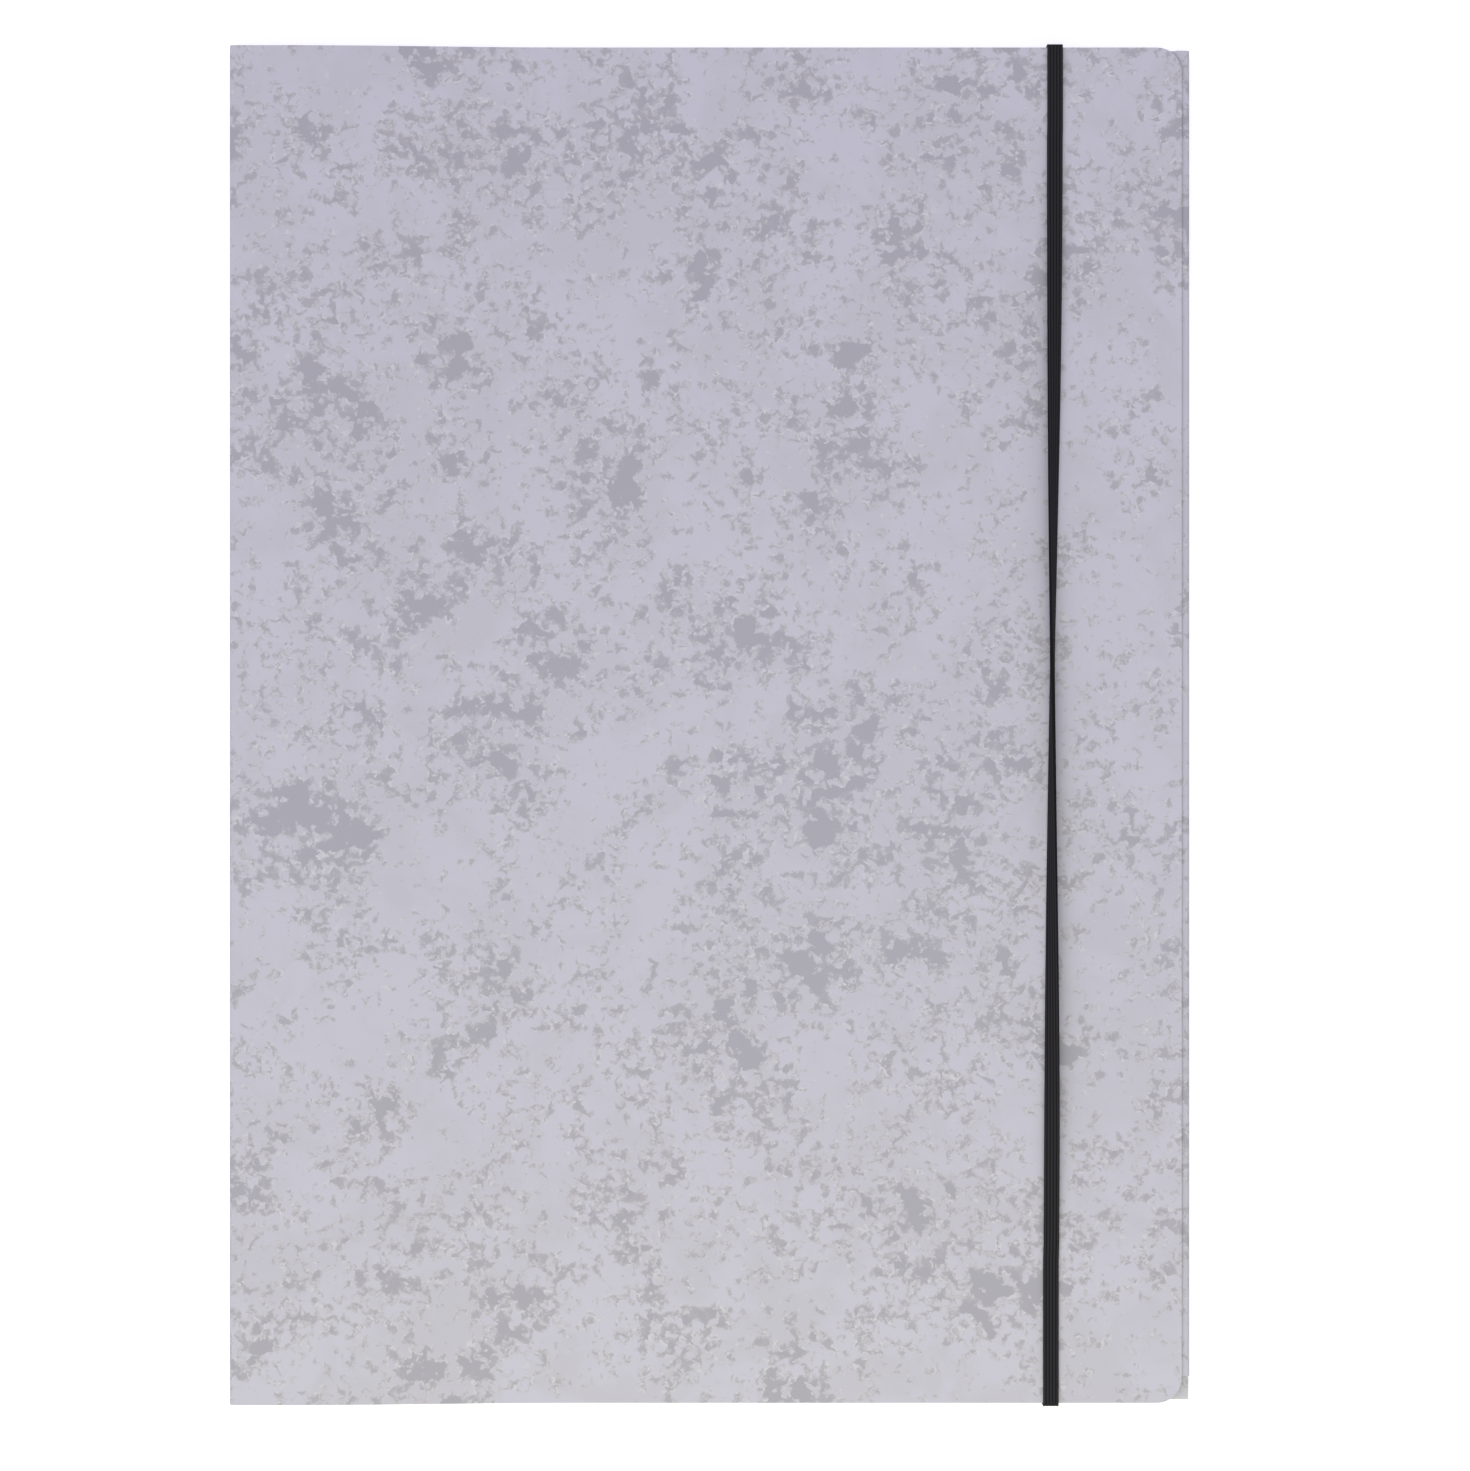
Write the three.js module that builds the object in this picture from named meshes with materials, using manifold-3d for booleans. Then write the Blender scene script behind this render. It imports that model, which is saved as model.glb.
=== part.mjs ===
// Cardboard portfolio folder for A3 sheets, closed by one vertical elastic.
// Millimetres. The folder lies on its back: +Z up through the front cover, +X from the spine to the
// side flap, +Y to the top edge. The origin is on the table, under the middle of the folder.
import * as THREE from "three";
import { mergeVertices } from "three/addons/utils/BufferGeometryUtils.js";
import Module from "manifold-3d";

// The closed folder
const FOLDER_WIDTH = 318.4;
const COVER_HEIGHT = 450;
const COVER_OVERHANG = 0.5;
const BOARD = 0.8;
const FOLD_INNER_RADIUS = 0.4;
const LAYER_GAP = 0.3;

// The space for the sheets, and the spine that is deeper than the flaps are when the folder is empty
const PAPER_SPACE = 4.8;
const SPINE_TOP = 12;

// Front cover
const COVER_SETBACK = 2.8;
const COVER_CORNER_RADIUS = 8.3;
const COVER_SAG_START = 20;
const COVER_SAG_END = 112;

// Inner flaps
const END_FLAP_DEPTH = 80;
const END_FLAP_TAPER = 26;
const END_FLAP_CORNER_RADIUS = 14;
const SIDE_FLAP_WIDTH = 86;
const SIDE_FLAP_TAPER = 30;
const SIDE_FLAP_CORNER_RADIUS = 16;
const SIDE_FLAP_TOP_SETBACK = 0.3;
const SIDE_FLAP_BOTTOM_SETBACK = 8.1;
const FLAP_END_RELIEF = 4;
const RELIEF_GAP = 0.5;

// Elastic
const ELASTIC_WIDTH = 5.3;
const ELASTIC_THICKNESS = 0.8;
const ELASTIC_RIBS = 5;
const RIB_DEPTH = 0.14;
const RIB_FLANK = 0.32;
const ELASTIC_TOP_INSET = 44.9;
const ELASTIC_BOTTOM_INSET = 46.3;
const ELASTIC_BEND_RADIUS = 0.8;
const TWIST_TOP_SETBACK = 65;
const TWIST_BOTTOM_SETBACK = 101;
const TWIST_STEPS = 32;

// Slots in the end walls, and the metal clasps behind them
const SLOT_CLEARANCE = 0.3;
const CLASP_WIDTH = 9;
const CLASP_LENGTH = 2.7;
const CLASP_METAL = 0.4;
const CLASP_CORNER_RADIUS = 0.5;

// Smoothness of round stretches
const FOLD_STEPS = 7;
const CORNER_STEPS = 10;
const SAG_STEPS = 22;
const CLASP_STEPS = 4;

// Heights of the layers, worked out from the board and its gaps
const HALF_BOARD = BOARD / 2;
const FOLD_RADIUS = FOLD_INNER_RADIUS + HALF_BOARD;
const OUTER_FOLD_RADIUS = FOLD_INNER_RADIUS + BOARD;
const END_FLAP_MID_Z = BOARD + PAPER_SPACE + HALF_BOARD;
const SIDE_FLAP_MID_Z = END_FLAP_MID_Z + BOARD + LAYER_GAP;
const COVER_MID_Z = SIDE_FLAP_MID_Z + BOARD + LAYER_GAP;
const HINGE_Z = SPINE_TOP - HALF_BOARD;
const ELASTIC_REST_Z = COVER_MID_Z + HALF_BOARD + LAYER_GAP;

// Edges in plan
const SPINE_X = -FOLDER_WIDTH / 2;
const SIDE_FOLD_X = FOLDER_WIDTH / 2;
const HINGE_X = SPINE_X + HALF_BOARD;
const COVER_EDGE_X = SIDE_FOLD_X - COVER_SETBACK;
const COVER_Y = COVER_HEIGHT / 2;
const BACK_Y = COVER_Y - COVER_OVERHANG;
const PANEL_Y = BACK_Y - OUTER_FOLD_RADIUS;
const PANEL_RIGHT_X = SIDE_FOLD_X - OUTER_FOLD_RADIUS;
const SIDE_FLAP_TOP_Y = BACK_Y - SIDE_FLAP_TOP_SETBACK;
const SIDE_FLAP_BOTTOM_Y = -BACK_Y + SIDE_FLAP_BOTTOM_SETBACK;
const WALL_INNER_X = SIDE_FOLD_X - BOARD;
const END_FLAP_LEFT_X = SPINE_X + BOARD + FLAP_END_RELIEF;
const ELASTIC_TOP_X = SIDE_FOLD_X - ELASTIC_TOP_INSET;
const ELASTIC_BOTTOM_X = SIDE_FOLD_X - ELASTIC_BOTTOM_INSET;
const TWIST_TOP_Y = COVER_Y - TWIST_TOP_SETBACK;
const TWIST_BOTTOM_Y = -COVER_Y + TWIST_BOTTOM_SETBACK;
const SLOT_MID_Z = OUTER_FOLD_RADIUS + SLOT_CLEARANCE * 2 + ELASTIC_THICKNESS / 2;

// Piece colours
const MARBLED_BOARD = { color: 0xbdbac8, roughness: 0.72, metalness: 0 };
const BLACK_ELASTIC = { color: 0x242327, roughness: 0.8, metalness: 0 };
const STEEL = { color: 0xb9bbbe, roughness: 0.35, metalness: 1 };

// Longer than any piece, for outlines that cut right through
const FAR = FOLDER_WIDTH + COVER_HEIGHT;

const wasm = await Module();
wasm.setup();

// Joins and cuts

function solidOf(geometry) {
  const bare = geometry.clone();
  bare.deleteAttribute("normal");
  bare.deleteAttribute("uv");
  const merged = mergeVertices(bare, 1e-4);
  return new wasm.Manifold(
    new wasm.Mesh({
      numProp: 3,
      vertProperties: merged.attributes.position.array,
      triVerts: new Uint32Array(merged.index.array),
    }),
  );
}

function geometryOf(solid) {
  const { vertProperties, triVerts } = solid.getMesh();
  const geometry = new THREE.BufferGeometry();
  geometry.setAttribute("position", new THREE.BufferAttribute(new Float32Array(vertProperties), 3));
  geometry.setIndex(new THREE.BufferAttribute(new Uint32Array(triVerts), 1));
  geometry.computeVertexNormals();
  return geometry;
}

function meshOf(name, geometry, finish) {
  const mesh = new THREE.Mesh(geometry, new THREE.MeshStandardMaterial(finish));
  mesh.name = name;
  return mesh;
}

// Rounds the corner at a point of a path: the arc's points, from the side before to the side after.
function cornerArc(before, corner, after, radius, steps) {
  const inward = before.clone().sub(corner).normalize();
  const outward = after.clone().sub(corner).normalize();
  const halfAngle = Math.acos(THREE.MathUtils.clamp(inward.dot(outward), -1, 1)) / 2;
  const tangent = Math.min(
    radius / Math.tan(halfAngle),
    before.distanceTo(corner) / 2,
    after.distanceTo(corner) / 2,
  );
  const reach = tangent / Math.cos(halfAngle);
  const middle = inward.clone().add(outward).normalize();
  const centre = corner.clone().addScaledVector(middle, reach);
  const start = corner.clone().addScaledVector(inward, tangent).sub(centre);
  const end = corner.clone().addScaledVector(outward, tangent).sub(centre);
  const sweep = Math.atan2(start.cross(end), start.dot(end));
  const origin = new THREE.Vector2();
  return Array.from({ length: steps + 1 }, (_, i) =>
    start.clone().rotateAround(origin, (sweep * i) / steps).add(centre),
  );
}

// An open path through the corners, with each inner corner rounded.
function roundedPath(corners, radius, steps) {
  const inner = corners
    .slice(1, -1)
    .flatMap((corner, i) => cornerArc(corners[i], corner, corners[i + 2], radius, steps));
  return [corners[0], ...inner, corners.at(-1)];
}

// A closed outline whose corners are {x, y, r}, where r rounds the corner and may be left out.
function roundedOutline(corners, steps = CORNER_STEPS) {
  const at = corners.map(({ x, y }) => new THREE.Vector2(x, y));
  const points = corners.flatMap(({ r = 0 }, i) => {
    const before = at.at(i - 1);
    const after = at[(i + 1) % at.length];
    return r > 0 ? cornerArc(before, at[i], after, r, steps) : [at[i]];
  });
  return new THREE.Shape(points);
}

// The section of a sheet of board that follows a path, as an outline.
function sheetSection(path, thickness, roundStart = false) {
  const normals = path.map((point, i) => {
    const before = path[Math.max(i - 1, 0)];
    const after = path[Math.min(i + 1, path.length - 1)];
    const along = after.clone().sub(before).normalize();
    return new THREE.Vector2(-along.y, along.x);
  });
  const half = thickness / 2;
  const left = path.map((point, i) => point.clone().addScaledVector(normals[i], half));
  const right = path.map((point, i) => point.clone().addScaledVector(normals[i], -half));
  const origin = new THREE.Vector2();
  const nose = Array.from({ length: roundStart ? FOLD_STEPS - 1 : 0 }, (_, i) =>
    normals[0]
      .clone()
      .multiplyScalar(-half)
      .rotateAround(origin, (-Math.PI * (i + 1)) / FOLD_STEPS)
      .add(path[0]),
  );
  return new THREE.Shape([...left, ...right.reverse(), ...nose]);
}

// Places an extrusion whose outline was drawn in X and Z, so that it runs along Y between two values.
function alongY(shape, lowY, highY) {
  const geometry = new THREE.ExtrudeGeometry(shape, { depth: highY - lowY, bevelEnabled: false });
  const turn = new THREE.Matrix4().makeBasis(
    new THREE.Vector3(1, 0, 0),
    new THREE.Vector3(0, 0, 1),
    new THREE.Vector3(0, -1, 0),
  );
  return geometry.applyMatrix4(turn).translate(0, highY, 0);
}

// Places an extrusion whose outline was drawn in Y and Z, so that it runs along X between two values.
function alongX(shape, lowX, highX) {
  const geometry = new THREE.ExtrudeGeometry(shape, { depth: highX - lowX, bevelEnabled: false });
  const turn = new THREE.Matrix4().makeBasis(
    new THREE.Vector3(0, 1, 0),
    new THREE.Vector3(0, 0, 1),
    new THREE.Vector3(1, 0, 0),
  );
  return geometry.applyMatrix4(turn).translate(lowX, 0, 0);
}

// An upright block whose outline was drawn in X and Y.
function alongZ(shape, lowZ, highZ) {
  const geometry = new THREE.ExtrudeGeometry(shape, { depth: highZ - lowZ, bevelEnabled: false });
  return geometry.translate(0, 0, lowZ);
}

function point(x, y) {
  return new THREE.Vector2(x, y);
}

// Folder body: one folded sheet, of spine, back panel, two end flaps and a side flap

function spineAndBackEdge() {
  const path = roundedPath(
    [
      point(HINGE_X, HINGE_Z - HALF_BOARD - LAYER_GAP),
      point(HINGE_X, HALF_BOARD),
      point(END_FLAP_LEFT_X, HALF_BOARD),
    ],
    FOLD_RADIUS,
    FOLD_STEPS,
  );
  return solidOf(alongY(sheetSection(path, BOARD), -BACK_Y, BACK_Y));
}

// The flat back, with the short stretch under the bottom flap's end that has no wall of its own.
function backPanel() {
  const panel = roundedOutline([
    { x: HINGE_X + FOLD_RADIUS, y: -PANEL_Y },
    { x: SIDE_FOLD_X - LAYER_GAP, y: -PANEL_Y },
    { x: SIDE_FOLD_X - LAYER_GAP, y: SIDE_FLAP_BOTTOM_Y - RELIEF_GAP },
    { x: PANEL_RIGHT_X, y: SIDE_FLAP_BOTTOM_Y },
    { x: PANEL_RIGHT_X, y: PANEL_Y },
    { x: HINGE_X + FOLD_RADIUS, y: PANEL_Y },
  ]);
  return solidOf(alongZ(panel, 0, BOARD));
}

function sideFlap() {
  const foldX = SIDE_FOLD_X - HALF_BOARD;
  const freeX = SIDE_FOLD_X - SIDE_FLAP_WIDTH;
  const path = roundedPath(
    [
      point(PANEL_RIGHT_X - FOLD_RADIUS, HALF_BOARD),
      point(foldX, HALF_BOARD),
      point(foldX, SIDE_FLAP_MID_Z),
      point(freeX, SIDE_FLAP_MID_Z),
    ],
    FOLD_RADIUS,
    FOLD_STEPS,
  );
  const folded = solidOf(alongY(sheetSection(path, BOARD), SIDE_FLAP_BOTTOM_Y, SIDE_FLAP_TOP_Y));
  const shoulderX = foldX - FLAP_END_RELIEF;
  const outline = roundedOutline([
    { x: FAR, y: SIDE_FLAP_BOTTOM_Y },
    { x: FAR, y: SIDE_FLAP_TOP_Y },
    { x: shoulderX, y: SIDE_FLAP_TOP_Y },
    { x: freeX, y: SIDE_FLAP_TOP_Y - SIDE_FLAP_TAPER, r: SIDE_FLAP_CORNER_RADIUS },
    { x: freeX, y: SIDE_FLAP_BOTTOM_Y + SIDE_FLAP_TAPER, r: SIDE_FLAP_CORNER_RADIUS },
    { x: shoulderX, y: SIDE_FLAP_BOTTOM_Y },
  ]);
  return folded.intersect(solidOf(alongZ(outline, -FAR, FAR)));
}

// The end of the bottom flap that shows past the side flap reaches out to the fold.
function endFlapShowing() {
  const rightX = SIDE_FOLD_X - LAYER_GAP;
  const topY = SIDE_FLAP_BOTTOM_Y - RELIEF_GAP;
  return roundedOutline([
    { x: WALL_INNER_X - FLAP_END_RELIEF, y: -FAR },
    { x: rightX, y: -FAR },
    { x: rightX, y: topY - RELIEF_GAP },
    { x: WALL_INNER_X - RELIEF_GAP, y: topY },
    { x: WALL_INNER_X - FLAP_END_RELIEF, y: topY },
  ]);
}

// The plan of an end flap, drawn at the top edge.
function endFlapPlan() {
  const freeY = BACK_Y - END_FLAP_DEPTH;
  const shoulderY = BACK_Y - BOARD - FLAP_END_RELIEF;
  const rightX = WALL_INNER_X - RELIEF_GAP;
  return [
    { x: END_FLAP_LEFT_X, y: FAR },
    { x: END_FLAP_LEFT_X, y: shoulderY },
    { x: END_FLAP_LEFT_X + END_FLAP_TAPER, y: freeY, r: END_FLAP_CORNER_RADIUS },
    { x: rightX - END_FLAP_TAPER, y: freeY, r: END_FLAP_CORNER_RADIUS },
    { x: rightX, y: shoulderY },
    { x: rightX, y: FAR },
  ];
}

// An end flap with its wall: end is 1 at the top edge and -1 at the bottom edge.
function endFlap(end) {
  const foldY = BACK_Y - HALF_BOARD;
  const corners = [
    point(BACK_Y - END_FLAP_DEPTH, HALF_BOARD),
    point(foldY, HALF_BOARD),
    point(foldY, END_FLAP_MID_Z),
    point(BACK_Y - END_FLAP_DEPTH, END_FLAP_MID_Z),
  ];
  const path = roundedPath(corners, FOLD_RADIUS, FOLD_STEPS).map(({ x, y }) => point(end * x, y));
  const plan = endFlapPlan().map(({ x, y, r }) => ({ x, y: end * y, r }));
  const folded = solidOf(alongX(sheetSection(path, BOARD), END_FLAP_LEFT_X, SIDE_FOLD_X - LAYER_GAP));
  const outline = solidOf(alongZ(roundedOutline(plan), -FAR, FAR));
  if (end > 0) return folded.intersect(outline);
  return folded.intersect(outline.add(solidOf(alongZ(endFlapShowing(), -FAR, FAR))));
}

// The slot that the elastic passes through, low in the wall of an end flap.
function elasticSlot(end, x) {
  const halfWidth = ELASTIC_WIDTH / 2 + SLOT_CLEARANCE;
  const halfHeight = ELASTIC_THICKNESS / 2 + SLOT_CLEARANCE;
  const throughWall = OUTER_FOLD_RADIUS * 2;
  const slot = new THREE.BoxGeometry(halfWidth * 2, throughWall, halfHeight * 2);
  return solidOf(slot.translate(x, end * BACK_Y, SLOT_MID_Z));
}

function folderBody() {
  const sheet = [spineAndBackEdge(), backPanel(), sideFlap(), endFlap(1), endFlap(-1)];
  const joined = sheet.reduce((whole, piece) => whole.add(piece));
  const slots = elasticSlot(1, ELASTIC_TOP_X).add(elasticSlot(-1, ELASTIC_BOTTOM_X));
  return meshOf("folder_body", geometryOf(joined.subtract(slots)), MARBLED_BOARD);
}

// Front cover: from the spine's fold it sinks onto the flaps, and its free corners are round

function coverHeightAt(distance) {
  const share = THREE.MathUtils.smoothstep(distance, COVER_SAG_START, COVER_SAG_END);
  return THREE.MathUtils.lerp(HINGE_Z, COVER_MID_Z, share);
}

function frontCover() {
  const sag = Array.from({ length: SAG_STEPS + 1 }, (_, i) => {
    const distance = THREE.MathUtils.lerp(COVER_SAG_START, COVER_SAG_END, i / SAG_STEPS);
    return point(HINGE_X + distance, coverHeightAt(distance));
  });
  const path = [point(HINGE_X, HINGE_Z), ...sag, point(COVER_EDGE_X, COVER_MID_Z)];
  const sheet = solidOf(alongY(sheetSection(path, BOARD, true), -COVER_Y, COVER_Y));
  const outline = roundedOutline([
    { x: -FAR, y: -COVER_Y },
    { x: COVER_EDGE_X, y: -COVER_Y, r: COVER_CORNER_RADIUS },
    { x: COVER_EDGE_X, y: COVER_Y, r: COVER_CORNER_RADIUS },
    { x: -FAR, y: COVER_Y },
  ]);
  const cover = sheet.intersect(solidOf(alongZ(outline, -FAR, FAR)));
  return meshOf("front_cover", geometryOf(cover), MARBLED_BOARD);
}

// Elastic: a flat ribbed ribbon with half a turn in it, round both edges of the closed cover

// The ribbon's section, as points (across, through): ribs on both faces and round edges.
function ribbonSection() {
  const ribWidth = ELASTIC_WIDTH / ELASTIC_RIBS;
  const half = ELASTIC_THICKNESS / 2;
  const face = Array.from({ length: ELASTIC_RIBS }, (_, rib) => {
    const left = -ELASTIC_WIDTH / 2 + rib * ribWidth;
    return [
      point(left, half - RIB_DEPTH),
      point(left + RIB_FLANK, half),
      point(left + ribWidth - RIB_FLANK, half),
    ];
  }).flat();
  return [...face, ...face.map((p) => p.clone().negate())].reverse();
}

// The ribbon's middle line in Y and Z, seen from the spine, as stations from the top slot to the bottom one.
function ribbonStations() {
  const half = ELASTIC_THICKNESS / 2;
  const endY = BACK_Y - BOARD - LAYER_GAP - CLASP_LENGTH + CLASP_METAL + SLOT_CLEARANCE;
  const wrapY = COVER_Y + LAYER_GAP + half;
  const layZ = ELASTIC_REST_Z + half;
  const wrap = roundedPath(
    [point(endY, SLOT_MID_Z), point(wrapY, SLOT_MID_Z), point(wrapY, layZ), point(TWIST_TOP_Y, layZ)],
    ELASTIC_BEND_RADIUS,
    FOLD_STEPS,
  ).slice(0, -1);
  const stationsOf = (points, end, x, turn) =>
    points.map((p, i) => {
      const before = points[Math.max(i - 1, 0)];
      const after = points[Math.min(i + 1, points.length - 1)];
      const along = after.clone().sub(before).normalize();
      return { x, y: end * p.x, z: p.y, out: new THREE.Vector3(0, end * along.y, -along.x), turn };
    });
  const twist = Array.from({ length: TWIST_STEPS + 1 }, (_, i) => {
    const share = i / TWIST_STEPS;
    const turn = Math.PI * share;
    const lift = half * Math.abs(Math.cos(turn)) + (ELASTIC_WIDTH / 2) * Math.sin(turn);
    const y = THREE.MathUtils.lerp(TWIST_TOP_Y, TWIST_BOTTOM_Y, share);
    return { y, z: ELASTIC_REST_Z + lift, out: new THREE.Vector3(0, 0, 1), turn };
  });
  const run = twist.map((station) => {
    const share = (wrapY - station.y) / (2 * wrapY);
    return { ...station, x: THREE.MathUtils.lerp(ELASTIC_TOP_X, ELASTIC_BOTTOM_X, share) };
  });
  const top = stationsOf(wrap, 1, ELASTIC_TOP_X, 0);
  const bottom = stationsOf(wrap, -1, ELASTIC_BOTTOM_X, Math.PI).reverse();
  return [...top, ...run, ...bottom];
}

function elasticBand() {
  const section = ribbonSection();
  const count = section.length;
  const across = new THREE.Vector3(1, 0, 0);
  const stations = ribbonStations();
  const positions = stations.flatMap(({ x, y, z, out, turn }) => {
    const wide = across.clone().multiplyScalar(Math.cos(turn)).addScaledVector(out, Math.sin(turn));
    const thick = out.clone().multiplyScalar(Math.cos(turn)).addScaledVector(across, -Math.sin(turn));
    return section.flatMap((p) =>
      new THREE.Vector3(x, y, z).addScaledVector(wide, p.x).addScaledVector(thick, p.y).toArray(),
    );
  });
  const sides = [];
  for (let ring = 0; ring < stations.length - 1; ring += 1) {
    for (let i = 0; i < count; i += 1) {
      const next = (i + 1) % count;
      const a = ring * count + i;
      const b = ring * count + next;
      const c = b + count;
      const d = a + count;
      sides.push(a, b, c, a, c, d);
    }
  }
  const cap = THREE.ShapeUtils.triangulateShape(section, []);
  const last = (stations.length - 1) * count;
  const startCap = cap.flatMap(([a, b, c]) => [c, b, a]);
  const endCap = cap.flatMap(([a, b, c]) => [a + last, b + last, c + last]);
  const geometry = new THREE.BufferGeometry();
  geometry.setAttribute("position", new THREE.Float32BufferAttribute(positions, 3));
  geometry.setIndex([...sides, ...startCap, ...endCap]);
  geometry.computeVertexNormals();
  return meshOf("elastic_band", geometry, BLACK_ELASTIC);
}

// Clasp: a folded steel strip round the elastic's end, wider than the slot, flat behind the wall

function bandClasp(name, end, x) {
  const wallFace = BACK_Y - BOARD - LAYER_GAP;
  const backY = wallFace - CLASP_LENGTH;
  const innerHalf = ELASTIC_THICKNESS / 2 + SLOT_CLEARANCE;
  const legZ = innerHalf + CLASP_METAL / 2;
  const backMid = backY + CLASP_METAL / 2;
  const corners = [
    point(wallFace, SLOT_MID_Z - legZ),
    point(backMid, SLOT_MID_Z - legZ),
    point(backMid, SLOT_MID_Z + legZ),
    point(wallFace, SLOT_MID_Z + legZ),
  ];
  const path = roundedPath(corners, CLASP_CORNER_RADIUS, CLASP_STEPS);
  const placed = path.map((p) => point(end * p.x, p.y));
  const strip = alongX(sheetSection(placed, CLASP_METAL), x - CLASP_WIDTH / 2, x + CLASP_WIDTH / 2);
  return meshOf(name, strip, STEEL);
}

const folder = new THREE.Group();
folder.add(folderBody());
folder.add(frontCover());
folder.add(elasticBand());
folder.add(bandClasp("band_clasp_top", 1, ELASTIC_TOP_X));
folder.add(bandClasp("band_clasp_bottom", -1, ELASTIC_BOTTOM_X));

export default folder;
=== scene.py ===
"""Dresses the marbled card portfolio folder: card sheet, front cover, elastic and clasps."""

import logging
import math
from dataclasses import dataclass
from enum import Enum
from typing import Callable, Iterable, Sequence

import bmesh
import bpy
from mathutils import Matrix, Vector


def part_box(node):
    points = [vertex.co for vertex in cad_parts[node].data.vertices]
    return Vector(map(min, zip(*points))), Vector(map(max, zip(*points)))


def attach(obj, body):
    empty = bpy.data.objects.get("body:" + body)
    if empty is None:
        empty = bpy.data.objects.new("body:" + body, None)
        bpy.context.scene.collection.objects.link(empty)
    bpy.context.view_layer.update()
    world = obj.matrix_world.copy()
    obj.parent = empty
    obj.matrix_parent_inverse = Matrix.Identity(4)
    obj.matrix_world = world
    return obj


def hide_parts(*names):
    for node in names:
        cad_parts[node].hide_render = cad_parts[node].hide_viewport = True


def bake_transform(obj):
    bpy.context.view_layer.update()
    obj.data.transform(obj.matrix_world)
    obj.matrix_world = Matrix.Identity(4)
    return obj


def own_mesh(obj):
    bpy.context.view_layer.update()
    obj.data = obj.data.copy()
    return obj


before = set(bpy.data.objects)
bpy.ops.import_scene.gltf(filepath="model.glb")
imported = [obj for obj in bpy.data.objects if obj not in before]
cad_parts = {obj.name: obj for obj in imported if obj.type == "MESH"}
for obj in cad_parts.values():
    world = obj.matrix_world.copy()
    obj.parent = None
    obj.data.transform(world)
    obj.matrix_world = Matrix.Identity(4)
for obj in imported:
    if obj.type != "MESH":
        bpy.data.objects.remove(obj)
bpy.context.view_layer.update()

logging.basicConfig(level=logging.INFO, format="%(message)s")
log = logging.getLogger("folder")

MM = 0.001
NUDGE = 0.01 * MM
END_ZONE_Y = 200 * MM
SMOOTH_ANGLE = math.radians(40)
Point2 = tuple[float, float]
Triple = tuple[float, float, float]
PHOTO_WIDTH_PX = 1470
PHOTO_HEIGHT_PX = 1471


class Side(Enum):
    """Which end of the folder a piece is at, as its sign along Y."""

    TOP = 1
    BOTTOM = -1


class Tone(Enum):
    """Print, card, elastic and steel colours, as sRGB values of 255. The elastic's valley tone is
    painted shade in its grooves.
    """

    LAVENDER = (194, 192, 206)
    DUSK = (190, 188, 200)
    HAZE = (189, 187, 195)
    BLOTCH = (167, 165, 176)
    SPECK = (171, 169, 179)
    FLECK = (201, 200, 208)
    CARD_INSIDE = (214, 211, 204)
    CARD_FIBRE = (188, 182, 172)
    CARD_CORE = (172, 170, 172)
    CARD_CORE_DARK = (132, 130, 132)
    ELASTIC_CREST = (44, 43, 48)
    # Painted shade: the darker tone given to the grooves between the elastic's cords and threads.
    ELASTIC_VALLEY = (12, 12, 14)
    STEEL = (190, 190, 192)
    STEEL_SHADE = (150, 150, 154)

    def linear(self) -> tuple[float, float, float, float]:
        """Converts the tone to linear light.

        Returns:
            Red, green, blue and alpha, each from 0 to 1.
        """
        channels = [value / 255 for value in self.value]
        lit = [c / 12.92 if c <= 0.04045 else ((c + 0.055) / 1.055) ** 2.4 for c in channels]
        return (lit[0], lit[1], lit[2], 1.0)


# Node trees


@dataclass(frozen=True)
class NoiseLayer:
    """One fractal noise: how large its features are, in millimetres, and how it is built up."""

    size: float
    detail: float
    rough: float
    warp: float = 0.0


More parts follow.
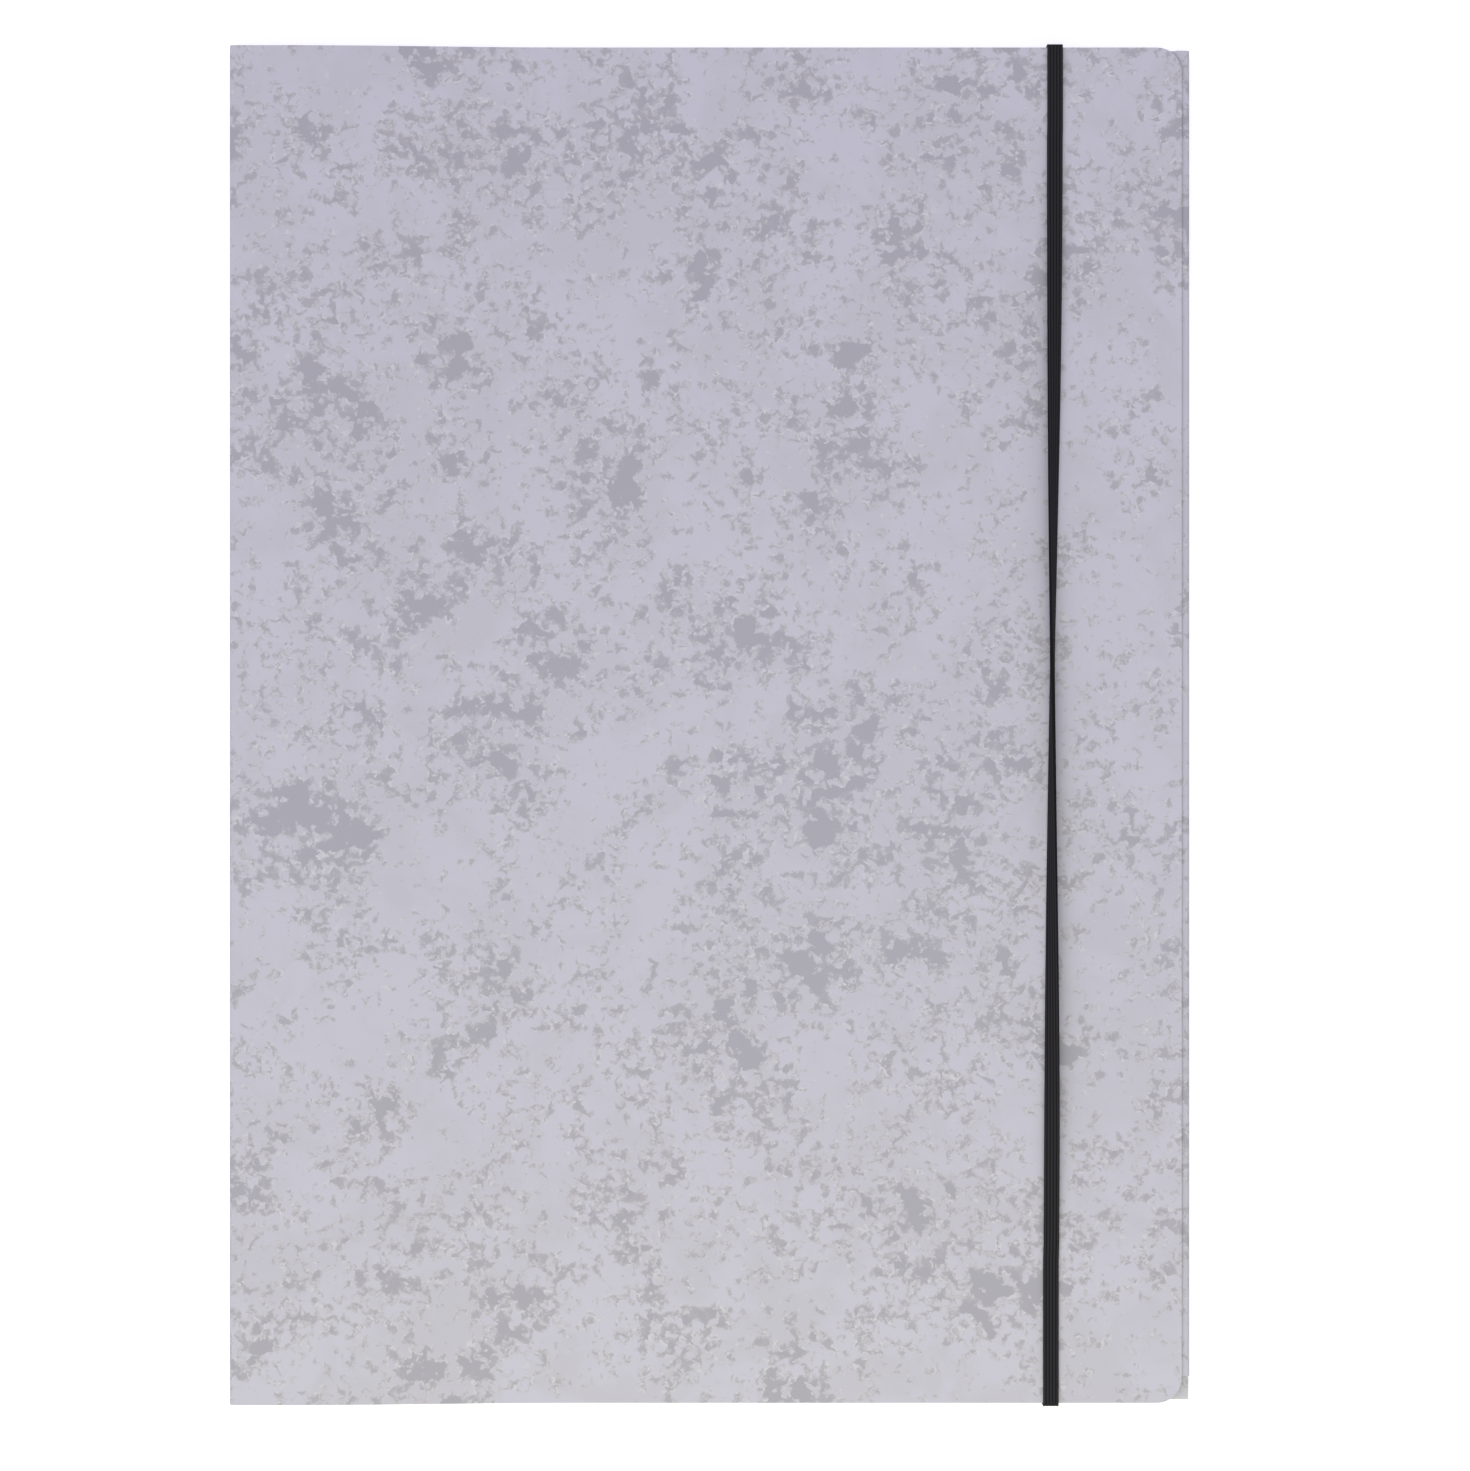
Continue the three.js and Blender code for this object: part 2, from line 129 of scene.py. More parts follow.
@dataclass
class Graph:
    """A material with a Principled shader, and short ways to add nodes to it."""

    name: str

    def __post_init__(self) -> None:
        """Makes the material and finds its shader."""
        self.material = bpy.data.materials.new(self.name)
        self.material.use_nodes = True
        self.tree = self.material.node_tree
        self.shader = self.tree.nodes["Principled BSDF"]

    def add(self, kind: str, **settings: object) -> bpy.types.Node:
        """Adds a node.

        Args:
            kind: The node's type name.
            settings: Properties to set on it.

        Returns:
            The new node.
        """
        node = self.tree.nodes.new(kind)
        for key, value in settings.items():
            setattr(node, key, value)
        return node

    def put(self, value: object, socket: bpy.types.NodeSocket) -> None:
        """Links an output to a socket, or sets the socket to a plain value.

        Args:
            value: An output, or a plain value.
            socket: The input that takes it.
        """
        if isinstance(value, bpy.types.NodeSocket):
            self.tree.links.new(value, socket)
        else:
            socket.default_value = value

    def millimetres(self) -> bpy.types.NodeSocket:
        """Reads the Object coordinates.

        Returns:
            The coordinates in millimetres.
        """
        scale = self.add("ShaderNodeVectorMath", operation="SCALE")
        self.put(self.add("ShaderNodeTexCoord").outputs["Object"], scale.inputs[0])
        scale.inputs["Scale"].default_value = 1 / MM
        return scale.outputs["Vector"]

    def stretched(self, where: object, scale: Triple) -> bpy.types.NodeSocket:
        """Scales coordinates, so that a pattern on them is drawn out.

        Args:
            where: The coordinates.
            scale: The factor along each axis, below 1 where the pattern is long.

        Returns:
            The scaled coordinates.
        """
        node = self.add("ShaderNodeMapping")
        self.put(where, node.inputs["Vector"])
        node.inputs["Scale"].default_value = scale
        return node.outputs["Vector"]

    def noise(self, where: object, layer: NoiseLayer) -> object:
        """Adds a fractal noise.

        Args:
            where: The coordinates, in millimetres.
            layer: The noise's size and make-up.

        Returns:
            The noise's value, about 0.5 on average.
        """
        node = self.add("ShaderNodeTexNoise")
        self.put(where, node.inputs["Vector"])
        node.inputs["Scale"].default_value = 1 / layer.size
        node.inputs["Detail"].default_value = layer.detail
        node.inputs["Roughness"].default_value = layer.rough
        node.inputs["Distortion"].default_value = layer.warp
        return node.outputs["Fac"]

    def math(self, operation: str, first: object, second: object = 0.0) -> object:
        """Adds a Math node.

        Args:
            operation: What it works out.
            first: Its first value, an output or a number.
            second: Its second value, an output or a number.

        Returns:
            The result.
        """
        node = self.add("ShaderNodeMath", operation=operation)
        self.put(first, node.inputs[0])
        self.put(second, node.inputs[1])
        return node.outputs[0]

    def plus_share(self, value: object, other: object, share: float) -> object:
        """value with a share of other added, where other lies round 0.5."""
        offset = self.math("MULTIPLY", self.math("SUBTRACT", other, 0.5), share)
        return self.math("ADD", value, offset)

    def step(self, value: object, low: float, high: float) -> object:
        """Turns a value into a soft step.

        Args:
            value: The value.
            low: Where the step is 0.
            high: Where the step is 1.

        Returns:
            0 at low, 1 at high and smooth between.
        """
        node = self.add("ShaderNodeMapRange", interpolation_type="SMOOTHSTEP")
        self.put(value, node.inputs["Value"])
        node.inputs["From Min"].default_value = low
        node.inputs["From Max"].default_value = high
        return node.outputs["Result"]

    def mix(self, share: object, first: object, second: object) -> object:
        """Mixes two colours.

        Args:
            share: 0 for the first colour and 1 for the second.
            first: A colour.
            second: Another colour.

        Returns:
            The mixed colour.
        """
        node = self.add("ShaderNodeMix", data_type="RGBA")
        self.put(share, node.inputs["Factor"])
        colours = [socket for socket in node.inputs if socket.type == "RGBA"]
        self.put(first, colours[0])
        self.put(second, colours[1])
        return next(socket for socket in node.outputs if socket.type == "RGBA")

    def bump(self, height: object, depth: float) -> None:
        """Raises the surface's shading.

        Args:
            height: The height, from 0 to 1.
            depth: What a height of 1 stands for, in millimetres.
        """
        node = self.add("ShaderNodeBump")
        node.inputs["Distance"].default_value = depth * MM
        self.put(height, node.inputs["Height"])
        self.put(node.outputs["Normal"], self.shader.inputs["Normal"])

    def finish(
        self, colour: object, roughness: float, metallic: float, specular: float
    ) -> bpy.types.Material:
        """Sets the shader's main sockets.

        Args:
            colour: Base colour, an output or a plain colour.
            roughness: The surface's roughness.
            metallic: 1 on metal and 0 elsewhere.
            specular: The specular level of what isn't metal.

        Returns:
            The finished material.
        """
        self.put(colour, self.shader.inputs["Base Color"])
        self.shader.inputs["Roughness"].default_value = roughness
        self.shader.inputs["Metallic"].default_value = metallic
        self.shader.inputs["Specular IOR Level"].default_value = specular
        return self.material


# Finishes


@dataclass(frozen=True)
class CloudMarbling:
    """The printed outside of the card: ragged grey clouds and curly specks on lavender.

    Sizes are in millimetres. Each share says how much one pattern sways the next.
    """

    drift: NoiseLayer = NoiseLayer(26.0, 3.0, 0.6, 0.5)
    cloud: NoiseLayer = NoiseLayer(30.0, 2.0, 0.5)
    blotch: NoiseLayer = NoiseLayer(8.0, 4.0, 0.58, 0.3)
    speck: NoiseLayer = NoiseLayer(3.0, 2.0, 0.5, 0.6)
    curl: NoiseLayer = NoiseLayer(2.35, 1.0, 0.5, 1.0)
    grain: NoiseLayer = NoiseLayer(0.35, 3.0, 0.6)
    grain_depth: float = 0.012
    cloud_share: float = 0.8
    speck_share: float = 0.2
    speck_sway: float = 0.9
    drift_span: Point2 = (0.4, 0.62)
    busy_span: Point2 = (0.46, 0.58)
    fleck_span: Point2 = (0.57, 0.68)
    curl_span: Point2 = (0.49, 0.59)
    curl_middle: float = 0.47
    curl_width: float = 0.08
    speck_span: Point2 = (0.612, 0.668)
    blotch_span: Point2 = (0.648, 0.683)
    roughness: float = 0.62
    specular: float = 0.3

    def material(self) -> bpy.types.Material:
        """Makes the marbled material.

        Returns:
            The material.
        """
        g = Graph("marbled_print")
        where = g.millimetres()
        speck = g.noise(where, self.speck)
        curl = g.noise(where, self.curl)
        cloud = g.noise(where, self.cloud)
        clustered = g.plus_share(g.noise(where, self.blotch), cloud, self.cloud_share)
        ragged = g.plus_share(clustered, speck, self.speck_share)
        swayed = g.plus_share(speck, clustered, self.speck_sway)
        drifting = g.step(g.noise(where, self.drift), *self.drift_span)
        field = g.mix(drifting, Tone.LAVENDER.linear(), Tone.DUSK.linear())
        busy = g.step(swayed, *self.busy_span)
        base = g.mix(busy, field, Tone.HAZE.linear())
        flecks = g.math("MULTIPLY", busy, g.step(curl, *self.fleck_span))
        pale = g.mix(flecks, base, Tone.FLECK.linear())
        off_middle = g.math("ABSOLUTE", g.math("SUBTRACT", curl, self.curl_middle))
        line = g.step(off_middle, self.curl_width, 0.0)
        curls = g.math("MULTIPLY", line, g.step(swayed, *self.curl_span))
        specks = g.step(swayed, *self.speck_span)
        dotted = g.mix(g.math("MAXIMUM", specks, curls), pale, Tone.SPECK.linear())
        colour = g.mix(g.step(ragged, *self.blotch_span), dotted, Tone.BLOTCH.linear())
        g.bump(g.noise(where, self.grain), self.grain_depth)
        return g.finish(colour, self.roughness, metallic=0.0, specular=self.specular)


@dataclass(frozen=True)
class PlainCard:
    """The unprinted inside of the card, with fibres in it."""

    fibre: NoiseLayer = NoiseLayer(1.4, 6.0, 0.7)
    fibre_stretch: Triple = (1.0, 0.35, 1.0)
    fibre_span: Point2 = (0.56, 0.72)
    fibre_depth: float = 0.02
    mottle: NoiseLayer = NoiseLayer(28.0, 3.0, 0.5)
    mottle_span: Point2 = (0.4, 0.8)
    mottle_share: float = 0.3
    roughness: float = 0.85
    specular: float = 0.2

    def material(self) -> bpy.types.Material:
        """Makes the plain inside.

        Returns:
            The material.
        """
        g = Graph("plain_card")
        where = g.millimetres()
        fibres = g.noise(g.stretched(where, self.fibre_stretch), self.fibre)
        shown = g.step(fibres, *self.fibre_span)
        base = g.mix(shown, Tone.CARD_INSIDE.linear(), Tone.CARD_FIBRE.linear())
        mottled = g.step(g.noise(where, self.mottle), *self.mottle_span)
        shade = g.math("MULTIPLY", mottled, self.mottle_share)
        colour = g.mix(shade, base, Tone.CARD_FIBRE.linear())
        g.bump(fibres, self.fibre_depth)
        return g.finish(colour, self.roughness, metallic=0.0, specular=self.specular)


@dataclass(frozen=True)
class CutEdge:
    """The cut edge of the card, with its pressed layers."""

    layer: NoiseLayer = NoiseLayer(0.22, 3.0, 0.6)
    layer_stretch: Triple = (0.06, 0.06, 1.0)
    layer_span: Point2 = (0.42, 0.66)
    layer_depth: float = 0.03
    roughness: float = 0.9
    specular: float = 0.2

    def material(self) -> bpy.types.Material:
        """Makes the cut edge.

        Returns:
            The material.
        """
        g = Graph("card_edge")
        layers = g.noise(g.stretched(g.millimetres(), self.layer_stretch), self.layer)
        share = g.step(layers, *self.layer_span)
        colour = g.mix(share, Tone.CARD_CORE.linear(), Tone.CARD_CORE_DARK.linear())
        g.bump(layers, self.layer_depth)
        return g.finish(colour, self.roughness, metallic=0.0, specular=self.specular)


@dataclass(frozen=True)
class WovenElastic:
    """Black elastic: cords lengthwise under a fine woven cover, with painted shade darkening the
    grooves between cords and threads.
    """

    ribs: int = 5
    thread: float = 0.55
    thread_floor: float = 0.7
    painted_shade_span: Point2 = (0.25, 1.15)
    weave_depth: float = 0.05
    roughness: float = 0.7
    specular: float = 0.15

    def material(self) -> bpy.types.Material:
        """Makes the elastic, whose weave follows the ribbon's own UV map.

        Returns:
            The material.
        """
        g = Graph("black_elastic")
        split = g.add("ShaderNodeSeparateXYZ")
        g.put(g.add("ShaderNodeTexCoord").outputs["UV"], split.inputs[0])
        across = split.outputs["X"]
        along = split.outputs["Y"]
        rib = g.math("ABSOLUTE", g.math("SINE", g.math("MULTIPLY", across, math.pi * self.ribs)))
        turns = g.math("MULTIPLY", along, 2 * math.pi / self.thread)
        shifted = g.math("ADD", turns, g.math("MULTIPLY", across, 2 * math.pi * self.ribs))
        half_wave = g.math("MULTIPLY", g.math("SINE", shifted), 0.5)
        thread = g.math("ADD", half_wave, 0.5 + self.thread_floor)
        weave = g.math("MULTIPLY", rib, thread)
        # Painted shade: the colour darkens with the weave's height, toward the valley tone in the
        # grooves between cords and threads.
        share = g.step(weave, *self.painted_shade_span)
        colour = g.mix(share, Tone.ELASTIC_VALLEY.linear(), Tone.ELASTIC_CREST.linear())
        g.bump(weave, self.weave_depth)
        return g.finish(colour, self.roughness, metallic=0.0, specular=self.specular)


@dataclass(frozen=True)
class RolledSteel:
    """The clasps' thin steel strip, with rolling marks along it."""

    mark: NoiseLayer = NoiseLayer(0.8, 4.0, 0.6)
    mark_stretch: Triple = (0.2, 3.0, 3.0)
    mark_depth: float = 0.01
    roughness: float = 0.34

    def material(self) -> bpy.types.Material:
        """Makes the steel.

        Returns:
            The material.
        """
        g = Graph("clasp_steel")
        marks = g.noise(g.stretched(g.millimetres(), self.mark_stretch), self.mark)
        colour = g.mix(marks, Tone.STEEL.linear(), Tone.STEEL_SHADE.linear())
        g.bump(marks, self.mark_depth)
        return g.finish(colour, self.roughness, metallic=1.0, specular=0.5)


# Modelling by hand


def deselect_all() -> None:
    """Leaves nothing selected, and object mode on."""
    if bpy.context.object and bpy.context.object.mode != "OBJECT":
        bpy.ops.object.mode_set(mode="OBJECT")
    bpy.ops.object.select_all(action="DESELECT")


def start_plane(
    name: str, low: Sequence[float], high: Sequence[float], z: float
) -> bpy.types.Object:
    """Adds a plane between two corners and opens it in edit mode.

    Args:
        name: The piece's name.
        low: Lowest x and y.
        high: Highest x and y.
        z: Its height.

    Returns:
        The new object, at the origin and in edit mode.
    """
    deselect_all()
    middle = ((low[0] + high[0]) / 2, (low[1] + high[1]) / 2, z)
    bpy.ops.mesh.primitive_plane_add(size=1, location=middle)
    piece = bpy.context.object
    piece.name = name
    piece.data.name = name
    piece.scale = (high[0] - low[0], high[1] - low[1], 1)
    bpy.ops.object.transform_apply(location=True, rotation=True, scale=True)
    bpy.ops.object.mode_set(mode="EDIT")
    return piece


def select_where(piece: bpy.types.Object, test: Callable[[Vector], bool], edges: bool) -> None:
    """Selects the edges or vertices that pass a test, and nothing else.

    Args:
        piece: The object in edit mode.
        test: Says whether a vertex counts.
        edges: True to select edges whose both ends count, False for single vertices.
    """
    bpy.context.tool_settings.mesh_select_mode = (not edges, edges, False)
    mesh = bmesh.from_edit_mesh(piece.data)
    for part in (*mesh.verts, *mesh.edges, *mesh.faces):
        part.select = False
    if edges:
        for edge in mesh.edges:
            edge.select_set(all(test(v.co) for v in edge.verts))
    else:
        for vert in mesh.verts:
            vert.select_set(test(vert.co))
    mesh.select_flush_mode()
    bmesh.update_edit_mesh(piece.data)


def cut_across(where: Iterable[float], axis: int) -> None:
    """Cuts the whole sheet by planes across one axis, so that edges start and end there.

    Args:
        where: The planes' places along the axis.
        axis: 0 for X and 1 for Y.
    """
    normal = tuple(float(i == axis) for i in range(3))
    for value in where:
        bpy.ops.mesh.select_all(action="SELECT")
        point = tuple(value if i == axis else 0.0 for i in range(3))
        bpy.ops.mesh.bisect(plane_co=point, plane_no=normal)


def pull_edge(path: Sequence[Vector]) -> None:
    """Extrudes the selected edge from the path's first point through each of the others."""
    for start, end in zip(path, path[1:]):
        bpy.ops.mesh.extrude_region_move(TRANSFORM_OT_translate={"value": tuple(end - start)})


def shift(piece: bpy.types.Object, test: Callable[[Vector], bool], by: Sequence[float]) -> None:
    """Moves the vertices that pass a test."""
    select_where(piece, test, edges=False)
    bpy.ops.transform.translate(value=tuple(by))


def round_corners(
    piece: bpy.types.Object, test: Callable[[Vector], bool], reach: float, steps: int
) -> None:
    """Rounds the corners of a sheet.

    Args:
        piece: The object in edit mode.
        test: Says which vertices are the corners.
        reach: How far from the corner the round starts.
        steps: Into how many edges it is divided.
    """
    select_where(piece, test, edges=False)
    bpy.ops.mesh.bevel(offset=reach, segments=steps, affect="VERTICES", clamp_overlap=False)


def rounded_path(corners: Sequence[Point2], radius: float, steps: int = 6) -> list[Point2]:
    """Rounds the inner corners of a path of level and upright stretches.

    Args:
        corners: The path's corners.
        radius: The radius of each round.
        steps: Into how many edges each round is divided.

    Returns:
        The path's points.
    """
    points = [corners[0]]
    for before, corner, after in zip(corners, corners[1:], corners[2:]):
        back = Vector(before) - Vector(corner)
        ahead = Vector(after) - Vector(corner)
        back.normalize()
        ahead.normalize()
        centre = Vector(corner) + (back + ahead) * radius
        for i in range(steps + 1):
            turn = i / steps * math.pi / 2
            offset = -ahead * math.cos(turn) - back * math.sin(turn)
            points.append(tuple(centre + offset * radius))
    return [*points, corners[-1]]


def close_to(value: float, target: float, margin: float = 2 * NUDGE) -> bool:
    """Whether two lengths are the same, but for rounding."""
    return abs(value - target) < margin


def thicken(piece: bpy.types.Object, board: float) -> None:
    """Gives a sheet its thickness: print outside, plain card inside and the cut edge round it.

    Args:
        piece: The sheet, in edit mode.
        board: The card's thickness.
    """
    bpy.ops.mesh.select_all(action="SELECT")
    bpy.ops.mesh.remove_doubles(threshold=NUDGE / 2)
    bpy.ops.object.mode_set(mode="OBJECT")
    wall = piece.modifiers.new("board", "SOLIDIFY")
    wall.thickness = board
    wall.offset = 0
    wall.use_even_offset = True
    wall.material_offset = 1
    wall.material_offset_rim = 2
    bpy.ops.object.modifier_apply(modifier=wall.name)
    bpy.ops.object.shade_smooth_by_angle(angle=SMOOTH_ANGLE)


# Pieces


@dataclass
class CardFinishes:
    """The three finishes of one sheet of card, in the order that its faces use."""

    def __post_init__(self) -> None:
        """Makes the materials once, for every sheet."""
        self.materials = [CloudMarbling().material(), PlainCard().material(), CutEdge().material()]

    def dress(self, piece: bpy.types.Object) -> None:
        """Gives a sheet its finishes."""
        for material in self.materials:
            piece.data.materials.append(material)


@dataclass
class FoldedSheet:
    """Back panel, walls and inner flaps, folded from one sheet of card."""

    card: CardFinishes
    board: float = 0.8 * MM
    fold_radius: float = 0.8 * MM
    seam_x: float = -157.0 * MM
    flap_left_x: float = -154.4 * MM
    wall_gap: float = 0.5 * MM
    end_flap_z: float = 6.0 * MM
    end_flap_depth: float = 80 * MM
    end_flap_taper: float = 26 * MM
    side_flap_z: float = 7.1 * MM
    side_flap_width: float = 86 * MM
    side_flap_taper: float = 30 * MM
    side_top_setback: float = 0.3 * MM
    side_bottom_setback: float = 8.1 * MM
    showing_inset: float = 0.3 * MM
    shoulder: float = 4 * MM
    corner_reach: float = 10 * MM
    corner_steps: int = 8
    slot_size: Triple = (5.9 * MM, 2.4 * MM, 1.4 * MM)

    def __post_init__(self) -> None:
        """Works out its edges from the CAD node that it stands for."""
        low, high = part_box("folder_body")
        half = self.board / 2
        self.mid_z = low[2] + half
        self.fold_x = high[0] - half
        self.fold_y = high[1] - half
        self.panel_x = self.fold_x - self.fold_radius
        self.panel_y = self.fold_y - self.fold_radius
        self.inner_x = high[0] - self.board - self.wall_gap
        self.showing_x = high[0] - self.showing_inset
        self.side_top_y = high[1] - self.side_top_setback
        self.side_bottom_y = low[1] + self.side_bottom_setback

    def build(self) -> bpy.types.Object:
        """Makes the sheet.

        Returns:
            The finished piece.
        """
        low = (self.seam_x, -self.panel_y)
        piece = start_plane("card_body", low, (self.panel_x, self.panel_y), self.mid_z)
        cut_across((self.flap_left_x, self.inner_x), 0)
        cut_across((self.side_bottom_y - self.wall_gap, self.side_bottom_y), 1)
        bpy.ops.mesh.select_all(action="SELECT")
        bpy.ops.mesh.flip_normals()
        self.extend_corner(piece)
        self.fold_end(piece, Side.TOP)
        self.fold_end(piece, Side.BOTTOM)
        self.fold_side(piece)
        self.card.dress(piece)
        thicken(piece, self.board)
        self.cut_slots(piece)
        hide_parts("folder_body")
        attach(piece, "folder")
        return piece

    def extend_corner(self, piece: bpy.types.Object) -> None:
        """Lets the back panel reach out under the end of the bottom flap that shows.

        Args:
            piece: The sheet, in edit mode.
        """
        limit = self.side_bottom_y - self.wall_gap + NUDGE
        select_where(piece, lambda v: close_to(v.x, self.panel_x) and v.y < limit, edges=True)
        pull_edge([Vector((self.panel_x, 0, 0)), Vector((self.showing_x, 0, 0))])

    def fold_end(self, piece: bpy.types.Object, side: Side) -> None:
        """Folds up a wall at one end and turns its flap in.

        Args:
            piece: The sheet, in edit mode.
            side: The end.
        """
        sign = side.value
        edge_y = sign * self.panel_y
        right_x = self.inner_x if side is Side.TOP else self.showing_x
        reach_x = right_x + NUDGE
        left_x = self.flap_left_x - NUDGE

        def on_edge(v: Vector) -> bool:
            """Whether a vertex is on the panel's edge, where the wall starts."""
            return close_to(v.y, edge_y) and left_x < v.x < reach_x

        def on_ledge(v: Vector) -> bool:
            """Whether a vertex is on the ledge's edge, where the flap goes on."""
            level = close_to(v.y, last.y) and close_to(v.z, last.z)
            return level and v.x < self.inner_x + NUDGE

        shoulder_y = self.fold_y - self.shoulder
        flap_end = self.fold_y + self.board / 2 - self.end_flap_depth
        corners = [
            (self.panel_y, self.mid_z),
            (self.fold_y, self.mid_z),
            (self.fold_y, self.end_flap_z),
            (shoulder_y, self.end_flap_z),
        ]
        path = rounded_path(corners, self.fold_radius)[1:]
        select_where(piece, on_edge, edges=True)
        pull_edge([Vector((0, sign * y, z)) for y, z in path])
        last = Vector((0, sign * shoulder_y, self.end_flap_z))
        if side is Side.BOTTOM:
            ledge_y = -self.side_bottom_y + self.wall_gap
            ledge = Vector((0, sign * ledge_y, self.end_flap_z))
            pull_edge([last, ledge])
            last = ledge
            select_where(piece, on_ledge, edges=True)
        pull_edge([last, Vector((0, sign * flap_end, self.end_flap_z))])
        self.taper_end(piece, sign * flap_end)

    def taper_end(self, piece: bpy.types.Object, free_y: float) -> None:
        """Slants the ends of an end flap and rounds its free corners.

        Args:
            piece: The sheet, in edit mode.
            free_y: Where the flap's free edge is.
        """
        ends = {self.flap_left_x: self.end_flap_taper, self.inner_x: -self.end_flap_taper}

        def corner(v: Vector, x: float) -> bool:
            """Whether a vertex is the free corner at x."""
            free = close_to(v.y, free_y) and close_to(v.z, self.end_flap_z)
            return free and close_to(v.x, x, MM / 2)

        for x, inward in ends.items():
            shift(piece, lambda v, x=x: corner(v, x), (inward, 0, 0))
        round_corners(
            piece,
            lambda v: any(corner(v, x + inward) for x, inward in ends.items()),
            self.corner_reach,
            self.corner_steps,
        )

    def fold_side(self, piece: bpy.types.Object) -> None:
        """Folds up the side wall and turns its flap in over the end flaps.

        Args:
            piece: The sheet, in edit mode.
        """
        low_y = self.side_bottom_y - NUDGE
        shoulder_x = self.fold_x - self.shoulder
        free_x = self.fold_x + self.board / 2 - self.side_flap_width
        corners = [
            (self.panel_x, self.mid_z),
            (self.fold_x, self.mid_z),
            (self.fold_x, self.side_flap_z),
            (shoulder_x, self.side_flap_z),
        ]
        path = rounded_path(corners, self.fold_radius)[1:]

        def on_edge(v: Vector) -> bool:
            """Whether a vertex is on the panel's edge, where the wall starts."""
            return close_to(v.x, self.panel_x) and v.y > low_y and v.z < MM

        def top_end(v: Vector) -> bool:
            """Whether a vertex is at the top end of the wall or the flap."""
            folded = v.z > self.side_flap_z - 10 * NUDGE or v.x > self.panel_x + NUDGE
            return v.y > self.panel_y - NUDGE and folded

        def free_edge(v: Vector) -> bool:
            """Whether a vertex is on the flap's free edge."""
            return close_to(v.x, free_x) and close_to(v.z, self.side_flap_z)

        select_where(piece, on_edge, edges=True)
        pull_edge([Vector((x, 0, z)) for x, z in path])
        pull_edge([Vector((shoulder_x, 0, 0)), Vector((free_x, 0, 0))])
        shift(piece, top_end, (0, self.side_top_y - self.panel_y, 0))
        for side in Side:
            inward = (0, -side.value * self.side_flap_taper, 0)
            shift(piece, lambda v, s=side.value: free_edge(v) and s * v.y > END_ZONE_Y, inward)
        corner_y = END_ZONE_Y - 50 * MM
        round_corners(
            piece,
            lambda v: free_edge(v) and abs(v.y) > corner_y,
            self.corner_reach,
            self.corner_steps,
        )

    def cut_slots(self, piece: bpy.types.Object) -> None:
        """Cuts the elastic's slots through the end walls, at the clasps behind them.

        Args:
            piece: The finished sheet.
        """
        for side in Side:
            low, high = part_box(f"band_clasp_{side.name.lower()}")
            place = ((low[0] + high[0]) / 2, side.value * self.fold_y, (low[2] + high[2]) / 2)
            deselect_all()
            bpy.ops.mesh.primitive_cube_add(size=1, location=place)
            cutter = bpy.context.object
            cutter.scale = self.slot_size
            bpy.ops.object.transform_apply(location=True, rotation=True, scale=True)
            deselect_all()
            bpy.context.view_layer.objects.active = piece
            cut = piece.modifiers.new("slot", "BOOLEAN")
            cut.object = cutter
            cut.operation = "DIFFERENCE"
            cut.solver = "EXACT"
            bpy.ops.object.modifier_apply(modifier=cut.name)
            bpy.data.objects.remove(cutter)


